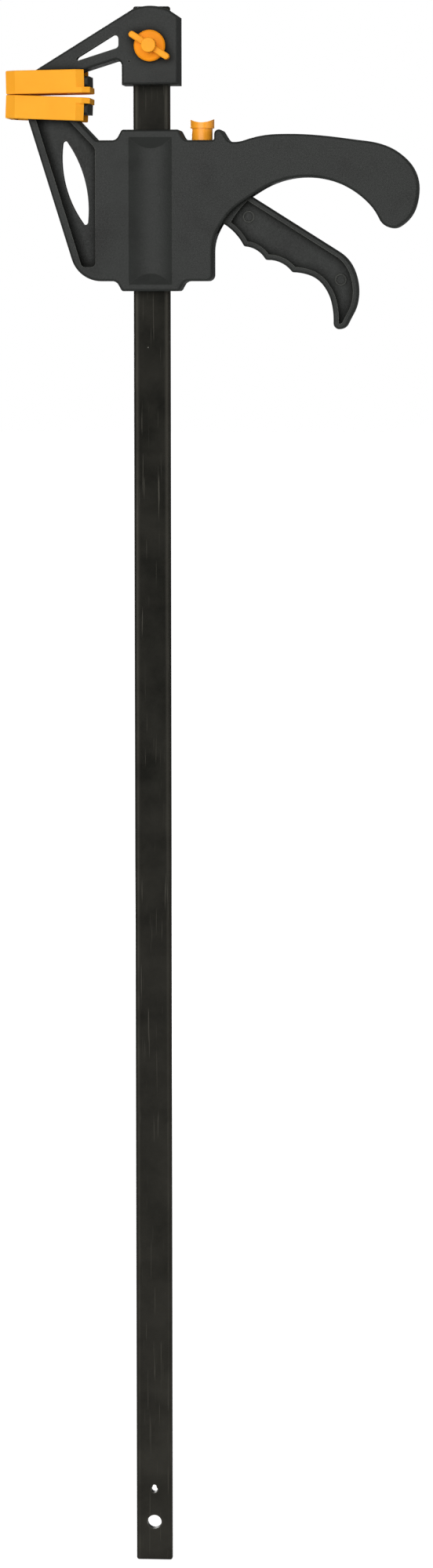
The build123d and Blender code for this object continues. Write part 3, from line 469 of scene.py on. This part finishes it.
def soft_pad():
    """Thermoplastic elastomer, injection moulded in a matt tool.

    It is a warm, slightly see-through orange with a soft sheen, faint mottling and a satin grain.
    """
    colours = bpy.context.scene.clamp_colours
    material, tree, shader, place = surface("elastomer_moulded")
    flow = node(
        tree, "ShaderNodeTexNoise", {"Vector": place, "Scale": cells_per(14), "Detail": 4.0}
    ).outputs["Fac"]
    # The real grain is about 0.1 mm, drawn at 0.7 mm so that the picture can hold it.
    grain = node(
        tree, "ShaderNodeTexNoise", {"Vector": place, "Scale": cells_per(0.7), "Detail": 2.0}
    ).outputs["Fac"]
    mottling = node(
        tree,
        "ShaderNodeMapRange",
        {"Value": flow, "From Min": 0.35, "From Max": 0.75, "To Max": 0.6},
    ).outputs["Result"]
    tone = node(
        tree,
        "ShaderNodeMix",
        {MIX_FACTOR: mottling, MIX_A: colours.pad, MIX_B: colours.pad_deep},
        data_type="RGBA",
    ).outputs[MIX_RESULT]
    gloss = node(
        tree, "ShaderNodeMapRange", {"Value": grain, **NOISE_SPREAD, "To Min": 0.54, "To Max": 0.66}
    ).outputs["Result"]
    relief = node(
        tree, "ShaderNodeBump", {"Height": grain, "Strength": 0.15, "Distance": 0.2 * MM}
    ).outputs["Normal"]
    connect(tree, shader, tone, gloss, relief)
    shader.inputs["Specular IOR Level"].default_value = 0.1
    shader.inputs["Subsurface Weight"].default_value = 0.12
    shader.inputs["Subsurface Radius"].default_value = (1.0, 0.5, 0.15)
    shader.inputs["Subsurface Scale"].default_value = 1.5 * MM
    return material


def gloss_abs(name, sheen, flange):
    """ABS, injection moulded in a polished tool.

    It is a clear strong orange with a smooth gloss and slight ripples. What lies further back
    than flange, a place along Y, is painted a deeper orange as shade under the hub and wings.
    Sheen is its specular level.
    """
    colours = bpy.context.scene.clamp_colours
    material, tree, shader, place = surface(name)
    flow = node(
        tree, "ShaderNodeTexNoise", {"Vector": place, "Scale": cells_per(6), "Detail": 3.0}
    ).outputs["Fac"]
    depth = node(tree, "ShaderNodeSeparateXYZ", {"Vector": place}).outputs["Y"]
    # Painted shade: behind flange the orange deepens, as under the hub and wings.
    thin = node(
        tree,
        "ShaderNodeMapRange",
        {"Value": depth, "From Min": flange - FLANGE_FADE, "From Max": flange},
    ).outputs["Result"]
    orange = node(
        tree,
        "ShaderNodeMix",
        {MIX_FACTOR: thin, MIX_A: colours.controls, MIX_B: colours.knob_painted_shade},
        data_type="RGBA",
    ).outputs[MIX_RESULT]
    value = node(
        tree, "ShaderNodeMapRange", {"Value": flow, **NOISE_SPREAD, "To Min": 0.95, "To Max": 1.04}
    ).outputs["Result"]
    tone = node(
        tree, "ShaderNodeHueSaturation", {"Color": orange, "Value": value}
    ).outputs["Color"]
    gloss = node(
        tree, "ShaderNodeMapRange", {"Value": flow, **NOISE_SPREAD, "To Min": 0.28, "To Max": 0.4}
    ).outputs["Result"]
    relief = node(
        tree, "ShaderNodeBump", {"Height": flow, "Strength": 0.06, "Distance": 0.3 * MM}
    ).outputs["Normal"]
    connect(tree, shader, tone, gloss, relief)
    shader.inputs["IOR"].default_value = 1.54
    shader.inputs["Specular IOR Level"].default_value = sheen
    return material


def bright_metal(name, tint, grain_mm, stretch, low, high):
    """A bare or plated metal with a fine directional finish, low and high being its roughness.

    Its lines are drawn several times coarser than the real ones, so that a picture can hold them.
    """
    material, tree, shader, place = surface(name)
    scale = tuple(cells_per(grain_mm * s) for s in stretch)
    along = node(tree, "ShaderNodeMapping", {"Vector": place, "Scale": scale}).outputs["Vector"]
    lines = node(
        tree, "ShaderNodeTexNoise", {"Vector": along, "Scale": 1.0, "Detail": 3.0}
    ).outputs["Fac"]
    value = node(
        tree, "ShaderNodeMapRange", {"Value": lines, **NOISE_SPREAD, "To Min": 0.86, "To Max": 1.08}
    ).outputs["Result"]
    tone = node(tree, "ShaderNodeHueSaturation", {"Color": tint, "Value": value}).outputs["Color"]
    gloss = node(
        tree, "ShaderNodeMapRange", {"Value": lines, **NOISE_SPREAD, "To Min": low, "To Max": high}
    ).outputs["Result"]
    relief = node(
        tree, "ShaderNodeBump", {"Height": lines, "Strength": 0.08, "Distance": 0.1 * MM}
    ).outputs["Normal"]
    connect(tree, shader, tone, gloss, relief)
    shader.inputs["Metallic"].default_value = 1.0
    return material


def zinc_plate():
    """Bright zinc plating, with faint lines and a cool sheen, made once."""
    name = "steel_zinc_plated"
    tint = bpy.context.scene.clamp_colours.zinc
    return bpy.data.materials.get(name) or bright_metal(
        name, tint, grain_mm=0.5, stretch=(1, 8, 1), low=0.22, high=0.36
    )


def dress(material, *names):
    """Gives CAD nodes their finish."""
    for name in names:
        NODES[name].data.materials.clear()
        NODES[name].data.materials.append(material)


# Modelling

def only(*pieces):
    """Selects these pieces alone and makes the first one active."""
    bpy.ops.object.select_all(action="DESELECT")
    for piece in pieces:
        piece.select_set(True)
    bpy.context.view_layer.objects.active = pieces[0]


def start(primitive, **settings):
    """A new primitive with its place and turn in its mesh."""
    bpy.ops.object.select_all(action="DESELECT")
    getattr(bpy.ops.mesh, f"primitive_{primitive}_add")(**settings)
    bpy.ops.object.transform_apply(location=True, rotation=True, scale=True)
    return bpy.context.object


def modify(piece, kind, **settings):
    """Adds a modifier with its settings and applies it."""
    only(piece)
    modifier = piece.modifiers.new(kind, kind)
    for name, value in settings.items():
        setattr(modifier, name, value)
    bpy.ops.object.modifier_apply(modifier=modifier.name)


def combine(piece, other, operation):
    """Cuts, joins or meets a piece with another one, which is used up."""
    modify(piece, "BOOLEAN", object=other, operation=operation, solver="EXACT")
    bpy.data.objects.remove(other)


def pick_rim(piece, height):
    """Opens a piece for editing with only its edges at that height selected."""
    only(piece)
    bpy.ops.object.mode_set(mode="EDIT")
    bpy.ops.mesh.select_mode(type="EDGE")
    bpy.ops.mesh.select_all(action="DESELECT")
    bpy.ops.object.mode_set(mode="OBJECT")
    level = [abs(vertex.co.z - height) < SAME_HEIGHT for vertex in piece.data.vertices]
    for edge in piece.data.edges:
        edge.select = all(level[v] for v in edge.vertices)
    bpy.ops.object.mode_set(mode="EDIT")


def bevel_rim(piece, height, width, segments):
    """Bevels the edges of a piece that lie at that height."""
    pick_rim(piece, height)
    bpy.ops.mesh.bevel(offset=width, segments=segments, affect="EDGES")
    bpy.ops.object.mode_set(mode="OBJECT")


def wind(section, rise, turns, steps):
    """Winds a flat ring up round the Z axis, closes its two ends and turns its faces outward."""
    sides = len(section.data.vertices)
    modify(
        section,
        "SCREW",
        axis="Z",
        screw_offset=rise,
        iterations=turns,
        steps=steps,
        render_steps=steps,
    )
    only(section)
    bpy.ops.object.mode_set(mode="EDIT")
    bpy.ops.mesh.select_all(action="SELECT")
    bpy.ops.mesh.remove_doubles(threshold=WELD)
    bpy.ops.mesh.fill_holes(sides=sides)
    bpy.ops.mesh.normals_make_consistent(inside=False)
    bpy.ops.object.mode_set(mode="OBJECT")


def threaded_rod(radius, depth, pitch, reach):
    """A rod along Z from 0 to reach: a bevelled core with a helical ridge wound round it."""
    core = start(
        "cylinder",
        vertices=CORE_SIDES,
        radius=radius - depth,
        depth=reach,
        location=(0, 0, reach / 2),
    )
    for end in (0, reach):
        bevel_rim(core, end, width=depth, segments=1)
    tooth = (depth + THREAD_ROOT) / TRIANGLE_HEIGHT
    ridge = start(
        "circle",
        vertices=3,
        radius=tooth,
        location=(radius - tooth, 0, pitch),
        rotation=(pi / 2, pi / 2, 0),
    )
    wind(ridge, pitch, int(reach / pitch) - BARE_TURNS, THREAD_STEPS)
    combine(core, ridge, "UNION")
    return core


def settle(piece, name, place, turn, edge):
    """Names a piece, puts its turn and place in its mesh and smooths edges flatter than that."""
    piece.name = name
    piece.data.name = name
    piece.rotation_euler = turn
    piece.location = place
    only(piece)
    bpy.ops.object.transform_apply(location=True, rotation=True, scale=True)
    bpy.ops.object.shade_smooth_by_angle(angle=edge)


def finish_piece(piece, material, body, slot, *nodes):
    """Gives a modelled piece its finish, its body and the nodes that it stands for."""
    piece.data.materials.clear()
    piece.data.materials.append(material)
    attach(piece, body)
    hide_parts(*nodes)


# Operators

class CLAMP_OT_bar(bpy.types.Operator):
    """Give the steel bar its black oxide finish"""

    bl_idname = "clamp.bar"
    bl_label = "Steel bar"

    def execute(self, context):
        dress(blackened_steel(), "bar")
        return {"FINISHED"}


class CLAMP_OT_mouldings(bpy.types.Operator):
    """Give the jaw, the shells and the trigger their moulded nylon"""

    bl_idname = "clamp.mouldings"
    bl_label = "Black mouldings"

    def execute(self, context):
        dress(moulded_nylon(), "fixed_jaw", "front_shell", "rear_shell", "trigger")
        return {"FINISHED"}


class CLAMP_OT_pads(bpy.types.Operator):
    """Give the two jaw pads their soft orange elastomer"""

    bl_idname = "clamp.pads"
    bl_label = "Jaw pads"

    def execute(self, context):
        dress(soft_pad(), "fixed_pad", "moving_pad")
        return {"FINISHED"}


class CLAMP_OT_controls(bpy.types.Operator):
    """Give the wing knob and the release button their orange ABS"""

    bl_idname = "clamp.controls"
    bl_label = "Knob and button"

    def execute(self, context):
        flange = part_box("wing_knob")[1].y - context.scene.clamp_sizes.flange
        dress(gloss_abs("abs_moulded_over_black", KNOB_SHEEN, flange), "wing_knob")
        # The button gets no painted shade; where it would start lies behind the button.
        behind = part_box("release_button")[1].y + MM
        dress(gloss_abs("abs_moulded", BUTTON_SHEEN, behind), "release_button")
        return {"FINISHED"}


class CLAMP_OT_mechanism(bpy.types.Operator):
    """Finish the plates and the pin inside the carriage"""

    bl_idname = "clamp.mechanism"
    bl_label = "Mechanism"

    def execute(self, context):
        # Stamped steel is a mid grey with a fine grain on its faces, lines through its sheared
        # edges and a dull film of oil.
        tint = context.scene.clamp_colours.plate
        plates = bright_metal(
            "steel_stamped_oiled", tint, grain_mm=0.4, stretch=(1, 1, 40), low=0.35, high=0.55
        )
        dress(plates, "drive_plate_top", "drive_plate_middle", "drive_plate_bottom")
        dress(plates, "brake_plate_upper", "brake_plate_lower")
        dress(zinc_plate(), "trigger_pin")
        return {"FINISHED"}


class CLAMP_OT_springs(bpy.types.Operator):
    """Wind the driving spring and the brake spring"""

    bl_idname = "clamp.springs"
    bl_label = "Springs"

    def execute(self, context):
        sizes = context.scene.clamp_sizes
        # Drawn wire is a brighter grey with short fine lines.
        tint = context.scene.clamp_colours.spring
        wire = bright_metal(
            "spring_wire_drawn", tint, grain_mm=0.3, stretch=(1, 1, 10), low=0.25, high=0.4
        )
        self.coil(
            "drive_spring", sizes.drive_wire, DRIVE_TURNS, wire, "drive_stroke", sizes.drive_travel
        )
        self.coil(
            "brake_spring", sizes.brake_wire, BRAKE_TURNS, wire, "release_press", sizes.brake_travel
        )
        return {"FINISHED"}

    def coil(self, node_name, wire_radius, turns, finish, joint, travel):
        """Winds a spring in the box of its node. Joint and travel are not used."""
        low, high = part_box(node_name)
        reach = high.z - low.z
        coil_radius = (high.x - low.x) / 2 - wire_radius
        coil = start(
            "circle",
            vertices=WIRE_SIDES,
            radius=wire_radius,
            location=(coil_radius, 0, wire_radius),
            rotation=(pi / 2, 0, 0),
        )
        wind(coil, (reach - 2 * wire_radius) / turns, turns, SPRING_STEPS)
        foot = ((low.x + high.x) / 2, (low.y + high.y) / 2, low.z)
        settle(coil, f"{node_name}_coil", foot, UPRIGHT, WIRE_EDGE)
        finish_piece(coil, finish, "carriage", "spring_steel", node_name)
        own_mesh(coil)


class CLAMP_OT_jaw_screw(bpy.types.Operator):
    """Model the threaded shank of the wing screw and its captive nut"""

    bl_idname = "clamp.jaw_screw"
    bl_label = "Jaw screw and nut"

    def execute(self, context):
        sizes = context.scene.clamp_sizes
        low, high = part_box("wing_screw")
        radius = (high.x - low.x) / 2
        middle = (low + high) / 2
        rod = threaded_rod(radius, sizes.thread_depth, sizes.thread_pitch, high.y - low.y)
        settle(rod, "jaw_screw", (middle.x, low.y, middle.z), FACING_BACK, HARD_EDGE)
        zinc = zinc_plate()
        finish_piece(rod, zinc, "screw", "zinc_steel", "wing_screw")
        low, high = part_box("captive_nut")
        height = high.y - low.y
        halfway = (0, 0, height / 2)
        corner = (high.z - low.z) / 2 / cos(pi / 6)
        nut = start(
            "cylinder",
            vertices=6,
            radius=corner,
            depth=height,
            location=halfway,
            rotation=(0, 0, pi / 6),
        )
        chamfers = start(
            "cylinder", vertices=CHAMFER_SIDES, radius=corner, depth=height, location=halfway
        )
        for end in (0, height):
            bevel_rim(chamfers, end, width=sizes.nut_chamfer, segments=1)
        combine(nut, chamfers, "INTERSECT")
        bore = start(
            "cylinder",
            vertices=BORE_SIDES,
            radius=radius + BORE_GAP,
            depth=3 * height,
            location=halfway,
        )
        combine(nut, bore, "DIFFERENCE")
        settle(nut, "jaw_nut", (middle.x, low.y, middle.z), FACING_BACK, HARD_EDGE)
        finish_piece(nut, zinc, "bar_and_jaw", "zinc_steel", "captive_nut")
        return {"FINISHED"}


class CLAMP_OT_case_screws(bpy.types.Operator):
    """Model the self-tapping screws that close the carriage from the back"""

    bl_idname = "clamp.case_screws"
    bl_label = "Case screws"

    def execute(self, context):
        sizes = context.scene.clamp_sizes
        low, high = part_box("shell_screws")
        seat = high.y - sizes.screw_head
        reach = seat - low.y
        top = reach + sizes.screw_head
        rod = threaded_rod(sizes.screw_radius, sizes.screw_thread, sizes.screw_pitch, reach)
        head = start(
            "cylinder",
            vertices=HEAD_SIDES,
            radius=sizes.screw_head_radius,
            depth=sizes.screw_head,
            location=(0, 0, reach + sizes.screw_head / 2),
        )
        bevel_rim(head, top, width=sizes.screw_dome, segments=DOME_STEPS)
        combine(head, rod, "UNION")
        span = RECESS_SPAN * sizes.screw_head_radius
        for turn in (0, pi / 2):
            cutter = start(
                "cube",
                size=1,
                scale=(span, sizes.recess_width, 2 * sizes.recess_depth),
                location=(0, 0, top),
                rotation=(0, 0, turn + RECESS_TURN),
            )
            self.taper(cutter)
            combine(head, cutter, "DIFFERENCE")
        screws = []
        for x, z in CASE_SCREW_PLACES:
            screw = head.copy()
            screw.data = head.data.copy()
            context.scene.collection.objects.link(screw)
            settle(screw, "case_screw", (x * MM, low.y, z * MM), FACING_BACK, HARD_EDGE)
            screws.append(screw)
        bpy.data.objects.remove(head)
        only(*screws)
        bpy.ops.object.join()
        screws[0].name = "case_screws"
        finish_piece(screws[0], zinc_plate(), "carriage", "zinc_steel", "shell_screws")
        return {"FINISHED"}

    def taper(self, cutter):
        """Draws the foot of a recess cutter in, as the driver's tip is."""
        foot = min(vertex.co.z for vertex in cutter.data.vertices)
        pick_rim(cutter, foot)
        bpy.ops.transform.resize(
            value=(RECESS_FOOT, RECESS_FOOT, 1), center_override=(0, 0, foot)
        )
        bpy.ops.object.mode_set(mode="OBJECT")


class CLAMP_OT_stage(bpy.types.Operator):
    """Set up the camera, the lamps, the white surround and the floor"""

    bl_idname = "clamp.stage"
    bl_label = "Studio"

    def execute(self, context):
        scene = context.scene
        stage = scene.clamp_stage
        scene.view_settings.view_transform = "Standard"
        self.camera(scene, stage)
        for name, (place, size) in LAMPS.items():
            self.lamp(scene, f"{name}_softbox", getattr(stage, name), place, size)
        self.surround(scene, stage)
        self.floor(stage)
        return {"FINISHED"}

    def camera(self, scene, stage):
        data = bpy.data.cameras.new("camera")
        data.lens = stage.lens
        data.sensor_width = SENSOR_MM
        camera = bpy.data.objects.new("camera", data)
        scene.collection.objects.link(camera)
        sight = Vector(stage.camera_target) - Vector(stage.camera_place)
        roll = Matrix.Rotation(stage.camera_roll, 4, "Z")
        turn = sight.to_track_quat("-Z", "Y").to_matrix().to_4x4() @ roll
        camera.matrix_world = Matrix.Translation(stage.camera_place) @ turn
        scene.camera = camera

    def lamp(self, scene, name, watts, place, size):
        data = bpy.data.lights.new(name, "AREA")
        data.shape = "RECTANGLE"
        data.size, data.size_y = size
        data.energy = watts
        lamp = bpy.data.objects.new(name, data)
        scene.collection.objects.link(lamp)
        sight = Vector(LAMP_AIM) - Vector(place)
        turn = sight.to_track_quat("-Z", "Y").to_matrix().to_4x4()
        lamp.matrix_world = Matrix.Translation(place) @ turn

    def surround(self, scene, stage):
        """White walls for the camera.

        To every other ray they darken towards the room behind the camera and straight behind
        the clamp, so that its narrow side faces don't mirror white.
        """
        world = bpy.data.worlds.new("white_studio")
        world.use_nodes = True
        scene.world = world
        tree = world.node_tree
        tree.nodes.clear()
        path = node(tree, "ShaderNodeLightPath").outputs
        seen = node(
            tree,
            "ShaderNodeMath",
            {0: path["Is Camera Ray"], 1: path["Is Glossy Ray"]},
            operation="MAXIMUM",
        ).outputs[0]
        through = node(
            tree, "ShaderNodeMath", {0: seen, 1: path["Is Transmission Ray"]}, operation="MAXIMUM"
        ).outputs[0]
        level = node(
            tree, "ShaderNodeMapRange", {"Value": through, "To Min": stage.surround}
        ).outputs["Result"]
        way = node(tree, "ShaderNodeTexCoord").outputs["Generated"]
        depth = node(tree, "ShaderNodeSeparateXYZ", {"Vector": way}).outputs["Y"]
        near = node(
            tree,
            "ShaderNodeMapRange",
            {"Value": depth, "From Min": -0.5, "From Max": 0.1, "To Min": stage.room},
        ).outputs["Result"]
        far = node(
            tree,
            "ShaderNodeMapRange",
            {"Value": depth, "From Min": 0.3, "From Max": 0.95, "To Min": 1.0, "To Max": 0.05},
        ).outputs["Result"]
        walls = node(tree, "ShaderNodeMath", {0: near, 1: far}, operation="MULTIPLY").outputs[0]
        dimmed = node(
            tree, "ShaderNodeMath", {0: walls, 1: path["Is Camera Ray"]}, operation="MAXIMUM"
        ).outputs[0]
        strength = node(
            tree, "ShaderNodeMath", {0: level, 1: dimmed}, operation="MULTIPLY"
        ).outputs[0]
        glow = node(tree, "ShaderNodeBackground", {"Color": WHITE, "Strength": strength})
        node(tree, "ShaderNodeOutputWorld", {"Surface": glow.outputs["Background"]})

    def floor(self, stage):
        """A pale floor that takes shadows, and darkens for mirrored rays as the walls do."""
        bpy.ops.object.select_all(action="DESELECT")
        bpy.ops.mesh.primitive_grid_add(
            x_subdivisions=FLOOR_CELLS,
            y_subdivisions=FLOOR_CELLS,
            size=FLOOR_SIDE,
            location=(0, 0, CAD_BOX[0].z - FLOOR_GAP),
        )
        floor = bpy.context.object
        floor.name = "floor"
        bpy.ops.object.transform_apply(location=True, rotation=True, scale=True)
        material = bpy.data.materials.new("white_floor")
        material.use_nodes = True
        tree = material.node_tree
        tree.nodes.clear()
        path = node(tree, "ShaderNodeLightPath").outputs
        place = node(tree, "ShaderNodeTexCoord").outputs["Object"]
        depth = node(tree, "ShaderNodeSeparateXYZ", {"Vector": place}).outputs["Y"]
        near = node(
            tree,
            "ShaderNodeMapRange",
            {"Value": depth, "From Min": -1.0, "From Max": -0.1, "To Min": stage.room},
        ).outputs["Result"]
        far = node(
            tree,
            "ShaderNodeMapRange",
            {"Value": depth, "From Min": 0.15, "From Max": 0.6, "To Min": 1.0, "To Max": 0.08},
        ).outputs["Result"]
        lit = node(tree, "ShaderNodeMath", {0: near, 1: far}, operation="MULTIPLY").outputs[0]
        mirrored = node(
            tree, "ShaderNodeMath", {0: lit, 1: path["Is Glossy Ray"]}, operation="MULTIPLY"
        ).outputs[0]
        seen = node(
            tree, "ShaderNodeMath", {0: path["Is Camera Ray"], 1: mirrored}, operation="MAXIMUM"
        ).outputs[0]
        through = node(
            tree, "ShaderNodeMath", {0: seen, 1: path["Is Transmission Ray"]}, operation="MAXIMUM"
        ).outputs[0]
        away = node(tree, "ShaderNodeVectorMath", {0: place}, operation="LENGTH").outputs["Value"]
        level = node(
            tree,
            "ShaderNodeMapRange",
            {"Value": away, "From Min": 0.9, "From Max": 2.0, "To Min": 0.88},
        ).outputs["Result"]
        shown = node(
            tree, "ShaderNodeMath", {0: level, 1: through}, operation="MULTIPLY"
        ).outputs[0]
        paint = node(tree, "ShaderNodeBsdfDiffuse", {"Color": FLOOR_GREY})
        glow = node(tree, "ShaderNodeEmission", {"Color": WHITE, "Strength": shown})
        both = node(tree, "ShaderNodeAddShader", {0: paint.outputs[0], 1: glow.outputs[0]})
        node(tree, "ShaderNodeOutputMaterial", {"Surface": both.outputs[0]})
        floor.data.materials.append(material)


class CLAMP_PT_panel(bpy.types.Panel):
    """Lists the clamp's pieces and its studio"""

    bl_idname = "CLAMP_PT_panel"
    bl_label = "Bar clamp"
    bl_space_type = "VIEW_3D"
    bl_region_type = "UI"
    bl_category = "Clamp"

    def draw(self, context):
        for operator in OPERATORS:
            self.layout.operator(operator.bl_idname)


OPERATORS = (
    CLAMP_OT_bar,
    CLAMP_OT_mouldings,
    CLAMP_OT_pads,
    CLAMP_OT_controls,
    CLAMP_OT_mechanism,
    CLAMP_OT_springs,
    CLAMP_OT_jaw_screw,
    CLAMP_OT_case_screws,
    CLAMP_OT_stage,
)
SETTINGS = {"clamp_colours": ClampColours, "clamp_sizes": ClampSizes, "clamp_stage": ClampStage}


def register():
    for name, group in SETTINGS.items():
        bpy.utils.register_class(group)
        setattr(bpy.types.Scene, name, PointerProperty(type=group))
    for operator in OPERATORS:
        bpy.utils.register_class(operator)
    bpy.utils.register_class(CLAMP_PT_panel)


def unregister():
    bpy.utils.unregister_class(CLAMP_PT_panel)
    for operator in reversed(OPERATORS):
        bpy.utils.unregister_class(operator)
    for name, group in SETTINGS.items():
        delattr(bpy.types.Scene, name)
        bpy.utils.unregister_class(group)


def main():
    register()
    bpy.ops.clamp.bar()
    bpy.ops.clamp.mouldings()
    bpy.ops.clamp.pads()
    bpy.ops.clamp.controls()
    bpy.ops.clamp.mechanism()
    bpy.ops.clamp.springs()
    bpy.ops.clamp.jaw_screw()
    bpy.ops.clamp.case_screws()
    bpy.ops.clamp.stage()


if __name__ == "__main__":
    main()
